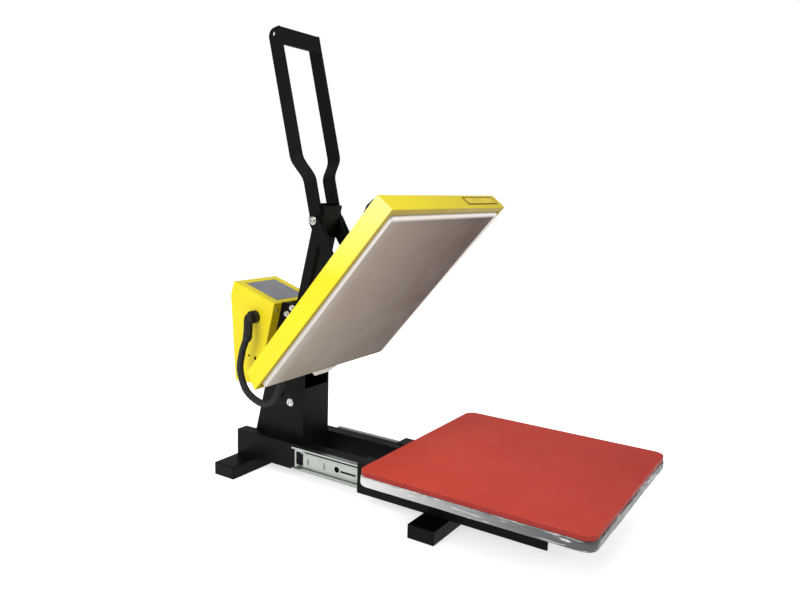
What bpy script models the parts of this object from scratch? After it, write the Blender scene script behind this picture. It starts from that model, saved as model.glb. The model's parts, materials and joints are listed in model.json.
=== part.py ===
"""Swing-up heat press with a pull-out lower platen.

Metres, +Z up. +Y points from the operator to the rear and X runs across the machine. The origin
is on the floor under the middle of the machine. The machine stands open: the drawer is pulled
out and the arm is up. Everything that swings with the arm is modelled lying flat, as when the
press is shut, with the main hinge as its origin, and an empty tilts it open.
"""

from math import atan2, cos, pi, radians, sin, sqrt

import bmesh
import bpy
from mathutils import Matrix, Vector

# Driving dimensions
GAP = 0.0003                      # left between pieces that touch
PAD_SIDE = 0.380                  # silicone pad, the pressing area
PLATEN_SIDE = 0.384
PAD_CENTRE_Y = -0.202             # of the drawer pulled out
PAD_TOP, PAD_THICK = 0.1235, 0.008
PLATEN_BOTTOM = 0.0995

STOCK_WIDE, STOCK_THIN, WALL = 0.050, 0.025, 0.002   # box section of the base
BASE_FRONT, BASE_REAR = -0.118, 0.374
BEAM_INNER, BEAM_OUTER = 0.0385, 0.0635
FOOT_HALF = 0.125

PLATE = 0.004                     # tower plates
TOWER_INNER, TOWER_OUTER = 0.0342, 0.0382
TOWER_FRONT, TOWER_BOTTOM, TOWER_TOP = 0.2255, 0.0255, 0.339
TOWER_REAR_AT_TOP, TOWER_LEAN = 0.2798, 0.2554       # rear edge runs back 0.2554 for 1 down

HINGE = Vector((0.0, 0.290, 0.1595))
HINGE_RADIUS = 0.007
OPEN_ANGLE = radians(50.0)
PIVOT = Vector((0.0, -0.3125, 0.1526))               # handle pivot, from the hinge
ARM_WIDE, ARM_DEEP = 0.050, 0.020
LEG_INNER, LEG_OUTER = 0.0342, 0.0392
LEG_FOOT = (-0.2600, 0.0077)

HEAT_FACE = -0.0358               # underside of the heat plate, from the hinge
HEAT_FRONT, HEAT_REAR = -0.4995, -0.1045
HEAT_HALF, HEAT_THICK = 0.181, 0.020
CHANNEL_HALF, CHANNEL_TOP = 0.0338, 0.0392
CHANNEL_FRONT, CHANNEL_REAR = -0.4415, -0.1720
COVER_HALF, COVER_SHEET, LIP_GAP = 0.192, 0.0012, 0.0018
COVER_OUTLINE = [(-0.5125, -0.0338), (-0.0963, -0.0312), (-0.1076, 0.0018), (-0.5112, 0.0003)]
KNOB_Y = -0.405

HANDLE_TILT = radians(36.4)       # of the open handle from the flat arm
BAR_INNER, BAR_THICK, BAR_HALF = 0.0254, 0.005, 0.0135
BAR_SPREAD = 0.0265               # outward step of each bar above the pivot
STEP_START, STEP_END, BAR_TOP = 0.0736, 0.1183, 0.3483
CRANK = (-0.0127, -0.0532)        # link pin in the handle's side view

TOGGLE = Vector((0.0, 0.250, 0.2285))
LINK_LENGTH, LINK_TILT = 0.2303, radians(17.4)
LINK_INNER, LINK_OUTER = 0.0308, 0.0338

TRAY_FRONT, TRAY_REAR = -0.289, 0.066
TRAY_HALF, TRAY_SHEET = 0.0798, 0.003
TRAY_BOTTOM, TRAY_TOP = 0.027, 0.0825
SLIDE_LENGTH = 0.300
SLIDE_OUTER_REAR, SLIDE_MIDDLE_REAR, SLIDE_INNER_REAR = 0.2225, 0.1995, 0.030

BOX_HALF, BOX_SHEET = 0.060, 0.0015
BOX_BOTTOM = 0.1735
BOX_REAR_BOTTOM, BOX_REAR_TOP, BOX_CROWN = (0.383, 0.1735), (0.3945, 0.3435), (0.386, 0.371)
CONDUIT_RADIUS = 0.007

# Outline coordinates (y, z) laid over local X and Y, thickness along local Z
SIDE_VIEW = Matrix(((0, 0, 1, 0), (1, 0, 0, 0), (0, 1, 0, 0), (0, 0, 0, 1)))


# Scene, materials and placing

def clear_scene():
    for obj in list(bpy.data.objects):
        bpy.data.objects.remove(obj)


def new_collection(name):
    collection = bpy.data.collections.new(name)
    bpy.context.scene.collection.children.link(collection)
    return collection


def material(name, colour, roughness, metallic=0.0):
    mat = bpy.data.materials.new(name)
    mat.use_nodes = True
    shader = mat.node_tree.nodes["Principled BSDF"]
    shader.inputs["Base Color"].default_value = (*colour, 1.0)
    shader.inputs["Roughness"].default_value = roughness
    shader.inputs["Metallic"].default_value = metallic
    return mat


def add(name, mesh, mat, parent=None, at=None):
    obj = bpy.data.objects.new(name, mesh)
    PARTS.objects.link(obj)
    mesh.materials.clear()
    mesh.materials.append(mat)
    mesh.shade_smooth()
    mesh.set_sharp_from_angle(angle=radians(35))
    obj.parent = parent
    if at is not None:
        obj.location = at
    return obj


def pivot_empty(name, location, tilt, parent=None):
    empty = bpy.data.objects.new(name, None)
    PARTS.objects.link(empty)
    empty.parent = parent
    empty.location = location
    empty.rotation_euler = (tilt, 0.0, 0.0)
    return empty


def helper(obj, name, mesh):
    tool = bpy.data.objects.new(name, mesh)
    CUTTERS.objects.link(tool)
    tool.parent = obj
    tool.hide_render = True
    tool.display_type = "WIRE"
    return tool


def combine(obj, operation, meshes):
    for mesh in meshes:
        name = f"{operation.lower()} {len(obj.modifiers)}"
        modifier = obj.modifiers.new(name, "BOOLEAN")
        modifier.operation = operation
        modifier.object = helper(obj, f"{obj.name} {name}", mesh)
    return obj


def cut(obj, *meshes):
    return combine(obj, "DIFFERENCE", meshes)


def weld(obj, *meshes):
    return combine(obj, "UNION", meshes)


def bevel(obj, width, segments=2):
    modifier = obj.modifiers.new("edges", "BEVEL")
    modifier.width = width
    modifier.segments = segments
    modifier.limit_method = "ANGLE"
    modifier.angle_limit = radians(40)
    return obj


def sides():
    return (("left", -1), ("right", 1))


def span(side, inner, outer):
    """X range of a piece on this side of the middle plane."""
    return tuple(sorted((side * inner, side * outer)))


# Shapes

def finished(bm):
    mesh = bpy.data.meshes.new("shape")
    bmesh.ops.recalc_face_normals(bm, faces=bm.faces)
    bm.to_mesh(mesh)
    bm.free()
    return mesh


def loft(loops):
    bm = bmesh.new()
    rings = [[bm.verts.new(point) for point in loop] for loop in loops]
    for a, b in zip(rings, rings[1:]):
        for i in range(len(a)):
            j = (i + 1) % len(a)
            bm.faces.new((a[i], a[j], b[j], b[i]))
    bm.faces.new(list(reversed(rings[0])))
    bm.faces.new(rings[-1])
    return finished(bm)


def box(x, y, z):
    low, high = Vector((x[0], y[0], z[0])), Vector((x[1], y[1], z[1]))
    bm = bmesh.new()
    bmesh.ops.create_cube(bm, size=1.0)
    bmesh.ops.scale(bm, vec=high - low, verts=bm.verts)
    bmesh.ops.translate(bm, vec=(low + high) / 2, verts=bm.verts)
    return finished(bm)


def turned(bands, segments=24):
    """Solid of revolution about X from (x, radius) pairs: a profile and a Screw modifier."""
    points = [(bands[0][0], 0.0, 0.0), *[(x, 0.0, r) for x, r in bands], (bands[-1][0], 0.0, 0.0)]
    profile = bpy.data.meshes.new("profile")
    profile.from_pydata(points, [(i, i + 1) for i in range(len(points) - 1)], [])
    guide = bpy.data.objects.new("guide", profile)
    screw = guide.modifiers.new("turn", "SCREW")
    screw.axis = "X"
    screw.steps = screw.render_steps = segments
    screw.use_merge_vertices = True
    screw.merge_threshold = 0.00001
    return evaluated_solid(guide)


def post(bands, segments=24):
    """Solid of revolution about Z from (z, radius) pairs."""
    mesh = turned(bands, segments)
    mesh.transform(Matrix.Rotation(-pi / 2, 4, "Y"))
    return mesh


def pin(x_low, x_high, radius, at, segments=20):
    bm = bmesh.new()
    bmesh.ops.create_cone(
        bm, cap_ends=True, segments=segments, radius1=radius, radius2=radius, depth=x_high - x_low,
    )
    mesh = finished(bm)
    mesh.transform(Matrix.Translation(((x_low + x_high) / 2, *at)) @ Matrix.Rotation(pi / 2, 4, "Y"))
    return mesh


def evaluated_solid(guide):
    """Mesh of a guide object, as its modifiers or its curve settings make it."""
    bpy.context.scene.collection.objects.link(guide)
    bpy.context.view_layer.update()
    mesh = bpy.data.meshes.new_from_object(guide.evaluated_get(bpy.context.evaluated_depsgraph_get()))
    bpy.data.objects.remove(guide)
    bm = bmesh.new()
    bm.from_mesh(mesh)
    bmesh.ops.remove_doubles(bm, verts=bm.verts, dist=1e-6)
    return finished(bm)


def outline_solid(outlines, thickness):
    curve = bpy.data.curves.new("outline", "CURVE")
    curve.dimensions = "2D"
    curve.fill_mode = "BOTH"
    curve.extrude = thickness / 2
    for outline in outlines:
        spline = curve.splines.new("POLY")
        spline.points.add(len(outline) - 1)
        for point, (u, v) in zip(spline.points, outline):
            point.co = (u, v, 0.0, 1.0)
        spline.use_cyclic_u = True
    return evaluated_solid(bpy.data.objects.new("guide", curve))


def side_plate(x, *outlines):
    """Outlines in (y, z), the first solid and the rest holes, between two values of x."""
    mesh = outline_solid(outlines, x[1] - x[0])
    mesh.transform(Matrix.Translation(((x[0] + x[1]) / 2, 0, 0)) @ SIDE_VIEW)
    return mesh


def flat_plate(z, *outlines):
    """Outlines in (x, y) between two values of z."""
    mesh = outline_solid(outlines, z[1] - z[0])
    mesh.transform(Matrix.Translation((0, 0, (z[0] + z[1]) / 2)))
    return mesh


def section(y, *outlines):
    """Outlines in (x, z) between two values of y."""
    mesh = outline_solid(outlines, y[1] - y[0])
    mesh.transform(Matrix.Translation((0, (y[0] + y[1]) / 2, 0)) @ Matrix.Rotation(pi / 2, 4, "X"))
    return mesh


def tube(points, radius, fineness=2):
    curve = bpy.data.curves.new("route", "CURVE")
    curve.dimensions = "3D"
    curve.bevel_depth = radius
    curve.bevel_resolution = fineness
    curve.use_fill_caps = True
    spline = curve.splines.new("POLY")
    spline.points.add(len(points) - 1)
    for point, place in zip(spline.points, points):
        point.co = (*place, 1.0)
    return evaluated_solid(bpy.data.objects.new("guide", curve))


def smooth_route(points, steps):
    """Catmull-Rom curve through the points."""
    points = [Vector(p) for p in points]
    padded = [2 * points[0] - points[1], *points, 2 * points[-1] - points[-2]]
    route = []
    for a, b, c, d in zip(padded, padded[1:], padded[2:], padded[3:]):
        for i in range(steps):
            t = i / steps
            bend = (2 * a - 5 * b + 4 * c - d) * t * t + (3 * b - a - 3 * c + d) * t ** 3
            route.append(0.5 * (2 * b + (c - a) * t + bend))
    return [*route, points[-1]]


def circle(centre, radius, count=20):
    turns = [2 * pi * i / count for i in range(count)]
    return [(centre[0] + radius * cos(t), centre[1] + radius * sin(t)) for t in turns]


def rectangle(u, v):
    return [(u[0], v[0]), (u[1], v[0]), (u[1], v[1]), (u[0], v[1])]


def rounded(u, v, radius, steps=6):
    corners = (
        (u[1] - radius, v[1] - radius, 0.0), (u[0] + radius, v[1] - radius, 0.5 * pi),
        (u[0] + radius, v[0] + radius, pi), (u[1] - radius, v[0] + radius, 1.5 * pi),
    )
    return [
        (a + radius * cos(start + pi * i / (2 * steps)), b + radius * sin(start + pi * i / (2 * steps)))
        for a, b, start in corners
        for i in range(steps + 1)
    ]


def strap(start, end, radius, steps=8):
    """Flat link with full-round ends."""
    heading = atan2(end[1] - start[1], end[0] - start[0])
    outline = []
    for centre, first in ((end, heading - pi / 2), (start, heading + pi / 2)):
        for i in range(steps + 1):
            turn = first + pi * i / steps
            outline.append((centre[0] + radius * cos(turn), centre[1] + radius * sin(turn)))
    return outline


def inset(outline, distance):
    """Convex outline, listed anticlockwise, moved inwards."""
    moved = []
    for i, point in enumerate(outline):
        before, here, after = Vector(outline[i - 1]), Vector(point), Vector(outline[(i + 1) % len(outline)])
        first, second = (here - before).normalized(), (after - here).normalized()
        first, second = Vector((-first.y, first.x)), Vector((-second.y, second.x))
        moved.append(tuple(here + (first + second) * distance / (1 + first.dot(second))))
    return moved


# Base, tower and slides

def make_base():
    for name, side in sides():
        x = span(side, BEAM_INNER, BEAM_OUTER)
        z = (STOCK_THIN, STOCK_THIN + STOCK_WIDE)
        inner = rectangle((x[0] + WALL, x[1] - WALL), (z[0] + WALL, z[1] - WALL))
        add(f"base_beam_{name}", section((BASE_FRONT, BASE_REAR), rectangle(x, z), inner), BLACK)
    for name, y in (
        ("front", (BASE_FRONT, BASE_FRONT + STOCK_WIDE)), ("rear", (BASE_REAR - STOCK_WIDE, BASE_REAR)),
    ):
        top = STOCK_THIN - GAP
        foot = bevel(add(f"{name}_foot", box((-FOOT_HALF, FOOT_HALF), y, (0, top)), BLACK), 0.0015)
        hollow = box(
            (WALL - FOOT_HALF, FOOT_HALF - WALL), (y[0] + WALL, y[1] - WALL), (WALL, top - WALL)
        )
        drains = [post([(-0.01, 0.006), (0.01, 0.006)], 16) for _ in range(2)]
        for drain, x in zip(drains, (-0.085, 0.085)):
            drain.transform(Matrix.Translation((x, (y[0] + y[1]) / 2, 0)))
        cut(foot, hollow, *drains)
    half = BEAM_INNER - GAP
    member = [rectangle((-0.100, -0.060), (0.0285, 0.0535)), rectangle((-0.098, -0.062), (0.0305, 0.0515))]
    add("cross_member", side_plate((-half, half), *member), BLACK)


def tower_rear(z):
    return TOWER_REAR_AT_TOP + TOWER_LEAN * (TOWER_TOP - z)


def make_tower():
    outline = [
        (TOWER_FRONT, TOWER_BOTTOM), (tower_rear(TOWER_BOTTOM), TOWER_BOTTOM),
        (TOWER_REAR_AT_TOP, TOWER_TOP), (TOWER_FRONT, TOWER_TOP),
    ]
    holes = [
        circle(HINGE.yz, HINGE_RADIUS + GAP), circle(TOGGLE.yz, 0.0043),
        circle(CROSS_BOLT, 0.0043), circle(STOP_BOLT, 0.0033), circle(TOP_BOLT, 0.0033),
    ]
    for name, side in sides():
        add(f"tower_side_{name}", side_plate(span(side, TOWER_INNER, TOWER_OUTER), outline, *holes), BLACK)
    inside = (GAP - TOWER_INNER, TOWER_INNER - GAP)
    add("tower_front_plate", box(inside, (TOWER_FRONT, TOWER_FRONT + PLATE), (TOWER_BOTTOM, 0.1765)), BLACK)
    rear = [(tower_rear(z) - back, z) for z, back in (
        (TOWER_BOTTOM, PLATE), (TOWER_BOTTOM, 0), (0.335, 0), (0.335, PLATE),
    )]
    add("tower_rear_plate", side_plate(inside, rear), BLACK)
    lean = 0.2527
    face = [(ARM_REAR_AT_TOP + lean * (TOWER_TOP - z) + GAP, z) for z in (0.305, 0.332)]
    block = [face[0], (face[0][0] + 0.013, 0.305), (face[1][0] + 0.013, 0.332), face[1]]
    add("open_stop", side_plate(inside, block, circle(STOP_BOLT, 0.0033)), RUBBER)


def make_tower_pins():
    outside = TOWER_OUTER + GAP
    shaft = [(-1, 0.005, 0.011), (-1, 0, 0.011), (-1, 0, HINGE_RADIUS)]
    bands = [(side * (outside + grip), radius) for side, grip, radius in shaft]
    bands += [(-x, radius) for x, radius in reversed(bands)]
    add("hinge_shaft", turned(bands), BLACK, at=HINGE)
    for name, side in sides():
        bands = [(0.0303, 0.004), (outside, 0.004), (outside, 0.0085), (outside + 0.004, 0.0085)]
        stub = turned(bands)
        if side < 0:
            stub.transform(Matrix.Rotation(pi, 4, "Z"))
        add(f"toggle_pin_{name}", stub, STEEL, at=TOGGLE)
    for name, radius, head, place in (
        ("cross_bolt", 0.004, 0.0075, CROSS_BOLT), ("stop_bolt", 0.003, 0.0055, STOP_BOLT),
    ):
        bands = [(-outside - 0.0045, head), (-outside, head), (-outside, radius)]
        bands += [(-x, r) for x, r in reversed(bands)]
        add(name, turned(bands, 16), STEEL, at=(0, *place))
    bands = [(-outside - 0.0045, 0.0055), (-outside, 0.0055), (-outside, 0.003), (-0.0300, 0.003)]
    add("top_bolt", turned(bands, 16), STEEL, at=(0, *TOP_BOLT))


def channel(side, web, reach, z, sheet, lip):
    """Slide profile in (x, z): a web with a flange of thickness lip along its top and bottom."""
    outline = [
        (web, z[0]), (reach, z[0]), (reach, z[0] + lip), (web + sheet, z[0] + lip),
        (web + sheet, z[1] - lip), (reach, z[1] - lip), (reach, z[1]), (web, z[1]),
    ]
    return [(side * x, height) for x, height in outline]


def make_slides(drawer, middle):
    for name, side in sides():
        y = (SLIDE_OUTER_REAR - SLIDE_LENGTH, SLIDE_OUTER_REAR)
        profile = channel(side, 0.0638, 0.0750, (0.0305, 0.0755), 0.0014, 0.0014)
        window = box(span(side, 0.06, 0.07), (0.2010, 0.2190), (0.0390, 0.0640))
        cut(add(f"slide_outer_{name}", section(y, profile), ZINC), window)

        y = (SLIDE_MIDDLE_REAR - SLIDE_LENGTH, SLIDE_MIDDLE_REAR)
        profile = channel(side, 0.0655, 0.0748, (0.0322, 0.0738), 0.0025, 0.0050)
        cut(
            add(f"slide_middle_{name}", section(y, profile), ZINC, middle),
            box(span(side, 0.06, 0.07), (0.1868, 0.1892), (0.0445, 0.0560)),
            box(span(side, 0.06, 0.07), (0.1485, 0.1505), (0.0445, 0.0580)),
            pin(*span(side, 0.06, 0.07), 0.0035, (0.121, 0.0519), 16),
            box(span(side, 0.06, 0.07), (0.078, 0.105), (0.0465, 0.0505)),
        )

        y = (SLIDE_INNER_REAR - SLIDE_LENGTH, SLIDE_INNER_REAR)
        profile = channel(side, 0.0765, 0.0683, (0.0375, 0.0685), -0.0014, 0.0014)
        add(f"slide_inner_{name}", section(y, profile), ZINC, drawer)


def make_drawer(drawer):
    inner = TRAY_HALF - TRAY_SHEET
    under = TRAY_TOP - TRAY_SHEET
    profile = [
        (-TRAY_HALF, TRAY_BOTTOM), (-inner, TRAY_BOTTOM), (-inner, under), (inner, under),
        (inner, TRAY_BOTTOM), (TRAY_HALF, TRAY_BOTTOM), (TRAY_HALF, TRAY_TOP), (-TRAY_HALF, TRAY_TOP),
    ]
    tray = add("tray", section((TRAY_FRONT, TRAY_REAR), profile), BLACK, drawer)
    cut(tray, box((-0.045, 0.045), (0.033, 0.1), (0.07, 0.09)))
    for name, y in (("front", -0.262), ("rear", -0.085)):
        z = (TRAY_TOP + GAP, PLATEN_BOTTOM - GAP)
        outer, hollow = rectangle((y - 0.015, y + 0.015), z), rectangle((y - 0.013, y + 0.013), (z[0] + WALL, z[1] - WALL))
        add(f"platen_bar_{name}", side_plate((-0.075, 0.075), outer, hollow), BLACK, drawer)
    half = PLATEN_SIDE / 2
    y = (PAD_CENTRE_Y - half, PAD_CENTRE_Y + half)
    top = PAD_TOP - PAD_THICK
    bevel(
        add("lower_platen", flat_plate((PLATEN_BOTTOM, top - GAP), rounded((-half, half), y, 0.020)), DARK_ALUMINIUM, drawer),
        0.002,
    )
    half = PAD_SIDE / 2
    y = (PAD_CENTRE_Y - half, PAD_CENTRE_Y + half)
    bevel(add("silicone_pad", flat_plate((top, PAD_TOP), rounded((-half, half), y, 0.018)), SILICONE, drawer), 0.0008, 1)


# Arm and upper platen, lying flat about the hinge

def make_arm(arm):
    long = sqrt(PIVOT.y ** 2 + PIVOT.z ** 2)
    half, deep = ARM_WIDE / 2, ARM_DEEP / 2
    bar = add("arm_tube", box((-half, half), (-0.016, long + 0.030), (-deep, deep)), BLACK, arm)
    bar.rotation_euler = (atan2(PIVOT.z, PIVOT.y), 0, 0)
    boss = half + 0.0085
    weld(bar, pin(-boss, 0.001 - half, 0.012, (0, 0)), pin(half - 0.001, boss, 0.012, (0, 0)))
    cut(
        bar,
        box((WALL - half, half - WALL), (-0.03, long + 0.05), (WALL - deep, deep - WALL)),
        pin(-0.04, 0.04, HINGE_RADIUS + GAP, (0, 0)), pin(-0.04, 0.04, 0.0063, (long, 0)),
    )
    leg = strap(PIVOT.yz, LEG_FOOT, 0.0105)
    for name, side in sides():
        x = span(side, LEG_INNER, LEG_OUTER)
        add(f"arm_leg_{name}", side_plate(x, leg, circle(PIVOT.yz, 0.0063)), BLACK, arm)
    slope = PIVOT.z / PIVOT.y
    under = deep * sqrt(1 + slope * slope) + GAP
    y = (-0.2020, -0.1740)
    bracket = [(y[0], CHANNEL_TOP + GAP), (y[1], CHANNEL_TOP + GAP), (y[1], slope * y[1] - under), (y[0], slope * y[0] - under)]
    add("rear_bracket", side_plate((-0.020, 0.020), bracket, rectangle((-0.194, -0.182), (0.050, 0.064))), BLACK, arm)

    bands = [
        (-LEG_OUTER - 0.0054, 0.007), (-LEG_OUTER - GAP, 0.007), (-LEG_OUTER - GAP, 0.006),
        (-LEG_INNER + GAP, 0.006), (-LEG_INNER + GAP, 0.009), (-0.0307, 0.009), (-0.0307, 0.006),
    ]
    bands += [(-x, radius) for x, radius in reversed(bands)]
    add("pivot_bolt", turned(bands), STEEL, arm, PIVOT)


def make_upper_platen(arm):
    z = HEAT_FACE + HEAT_THICK
    heat = flat_plate((HEAT_FACE, z), rounded((-HEAT_HALF, HEAT_HALF), (HEAT_FRONT, HEAT_REAR), 0.010, 4))
    bevel(add("heat_plate", heat, ALUMINIUM, arm), 0.004, 3)

    y = (HEAT_FRONT + 0.010, HEAT_REAR - 0.010)
    outer, inner = (0.140, -0.460), (0.130, -0.450)
    end = -0.165
    loop = [
        (-outer[0], end), (-outer[0], outer[1]), (outer[0], outer[1]), (outer[0], end),
        (inner[0], end), (inner[0], inner[1]), (-inner[0], inner[1]), (-inner[0], end),
    ]
    around = [
        (-outer[0] - 0.001, end + 0.001), (-outer[0] - 0.001, outer[1] - 0.001), (outer[0] + 0.001, outer[1] - 0.001),
        (outer[0] + 0.001, end + 0.001), (inner[0] - 0.001, end + 0.001), (inner[0] - 0.001, inner[1] + 0.001),
        (-inner[0] + 0.001, inner[1] + 0.001), (-inner[0] + 0.001, end + 0.001),
    ]
    add("heating_element", flat_plate((z + GAP, z + 0.0065), loop), STEEL, arm)
    add("insulation", flat_plate((z + GAP, z + 0.0072), rectangle((-0.180, 0.180), y), around), FIBRE, arm)
    z += 0.0075
    add("backing_plate", flat_plate((z, z + 0.003), rectangle((-0.182, 0.182), y)), ZINC, arm)

    low, high, sheet = z + 0.003 + GAP, CHANNEL_TOP, 0.003
    outer, inner = CHANNEL_HALF, CHANNEL_HALF - sheet
    profile = [
        (-outer, low), (-inner, low), (-inner, high - sheet), (inner, high - sheet),
        (inner, low), (outer, low), (outer, high), (-outer, high),
    ]
    beam = add("support_channel", section((CHANNEL_FRONT, CHANNEL_REAR), profile), BLACK, arm)
    nut = post([(high - 0.001, 0.010), (high + 0.008, 0.010)], 6)
    bore = post([(0.0, 0.0063), (0.07, 0.0063)], 20)
    for mesh in (nut, bore):
        mesh.transform(Matrix.Translation((0, KNOB_Y, 0)))
    weld(beam, nut)
    cut(beam, bore)

    near, far = HEAT_REAR + GAP, HEAT_REAR + 0.0135
    tab = flat_plate(
        (HEAT_FACE - 0.0008, HEAT_FACE + 0.014), [(0.026, near), (0.012, far), (-0.033, far), (-0.033, near)],
    )
    bevel(add("terminal_block", tab, CERAMIC, arm), 0.0015)


def make_cover(arm):
    outside = side_plate((-COVER_HALF, COVER_HALF), COVER_OUTLINE)
    shell = bevel(add("cover", outside, YELLOW, arm), 0.0014)
    half = COVER_HALF - COVER_SHEET
    hollow = side_plate((-half, half), inset(COVER_OUTLINE, COVER_SHEET))
    half = HEAT_HALF + LIP_GAP                    # the sheet's lower edge folds in to here
    mouth = box((-half, half), (HEAT_FRONT - LIP_GAP, HEAT_REAR + LIP_GAP), (-0.05, -0.02))
    slot = box((-0.045, 0.045), (CHANNEL_FRONT - 0.008, CHANNEL_REAR + 0.012), (-0.012, 0.08))
    notch = box((-0.036, 0.029), (HEAT_REAR - 0.01, -0.06), (-0.05, -0.0195))
    gland = turned([(-0.01, 0.0083), (0.01, 0.0083)], 20)
    gland.transform(gland_place())
    cut(shell, hollow, mouth, slot, notch, gland)
    bands = [(-0.002, 0.008), (0.0003, 0.008), (0.0003, 0.0125), (0.008, 0.0125), (0.008, 0.011), (0.018, 0.010)]
    mesh = turned(bands, 18)
    mesh.transform(gland_place())
    add("cover_gland", mesh, BLACK_PLASTIC, arm)


def gland_place():
    """From +X outward to the gland's seat on the cover's rear face."""
    rear_low, rear_top = Vector(COVER_OUTLINE[1]), Vector(COVER_OUTLINE[2])
    seat = rear_top.lerp(rear_low, 0.5)
    along = (rear_top - rear_low).normalized()
    outward = Vector((0, along.y, -along.x))
    turn = Vector((1, 0, 0)).rotation_difference(outward).to_matrix().to_4x4()
    return Matrix.Translation((-0.085, *seat)) @ turn


def make_handle(handle):
    steps = 6
    stations = []
    for i in range(1, 6):                         # round end about the link pin
        turn = pi / 2 * i / 5
        reach = 0.0105 * sin(turn)
        stations.append((CRANK[1] - 0.0105 * cos(turn), CRANK[0] - reach, CRANK[0] + reach, 0.0))
    stations.append((-0.012, -BAR_HALF, BAR_HALF, 0.0))
    stations.append((STEP_START, -BAR_HALF, BAR_HALF, 0.0))
    for i in range(1, steps + 1):
        t = i / steps
        out = BAR_SPREAD * t * t * (3 - 2 * t)
        stations.append((STEP_START + (STEP_END - STEP_START) * t, -BAR_HALF, BAR_HALF, out))
    corner = 0.015
    for i in range(7):
        turn = pi / 2 * i / 6.3
        stations.append((BAR_TOP - corner + corner * sin(turn), -BAR_HALF, BAR_HALF - corner + corner * cos(turn), BAR_SPREAD))
    for name, side in sides():
        loops = []
        for u, low, high, out in stations:
            x = (side * (BAR_INNER + out), side * (BAR_INNER + BAR_THICK + out))
            loops.append([(x[0], low, u), (x[1], low, u), (x[1], high, u), (x[0], high, u)])
        bar = add(f"handle_bar_{name}", loft(loops), BLACK, handle)
        cut(
            bar, pin(-0.05, 0.05, 0.0063, (0, 0)), pin(-0.05, 0.05, 0.0043, CRANK, 16),
            pin(*span(side, 0.04, 0.07), 0.004, (0.0025, 0.3386), 16),
        )
        low, high = span(side, BAR_INNER, LINK_INNER - GAP)
        add(f"link_pin_{name}", pin(low, high, 0.004, (0, 0), 16), STEEL, handle, (0, *CRANK))
    half = BAR_INNER + BAR_SPREAD - GAP
    bar = add("handle_crossbar", box((-half, half), (-BAR_HALF, 0.005 - BAR_HALF), (0.3160, 0.3480)), BLACK, handle)
    bevel(bar, 0.0008, 1)


def make_links(links):
    for name, side in sides():
        outline = strap((0, 0), (0, LINK_LENGTH), 0.0078)
        bar = side_plate(span(side, LINK_INNER, LINK_OUTER), outline, circle((0, 0), 0.0043))
        add(f"toggle_link_{name}", bar, BLACK, links)


def make_knob(knob):
    base, top, radius = CHANNEL_TOP + 0.031, CHANNEL_TOP + 0.054, 0.025
    lobes = []
    for i in range(48):
        turn = 2 * pi * i / 48
        lobes.append((turn, radius - 0.0012 + 0.0012 * cos(8 * turn)))
    levels = [(base, 0.93), (base + 0.003, 1.0), (top - 0.006, 1.0), (top - 0.002, 0.93), (top, 0.78)]
    loops = [[(r * k * cos(t), r * k * sin(t), z) for t, r in lobes] for z, k in levels]
    grip = add("pressure_knob", loft(loops), BLACK_PLASTIC, knob)
    cut(grip, post([(base - 0.01, 0.0063), (base + 0.015, 0.0063)], 20))
    low = HEAT_FACE + HEAT_THICK + 0.0105 + GAP
    add("pressure_screw", post([(low, 0.006), (base + 0.0147, 0.006)], 20), STEEL, knob)


# Control box

def box_front(z):
    return tower_rear(z) + 0.0005


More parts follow.
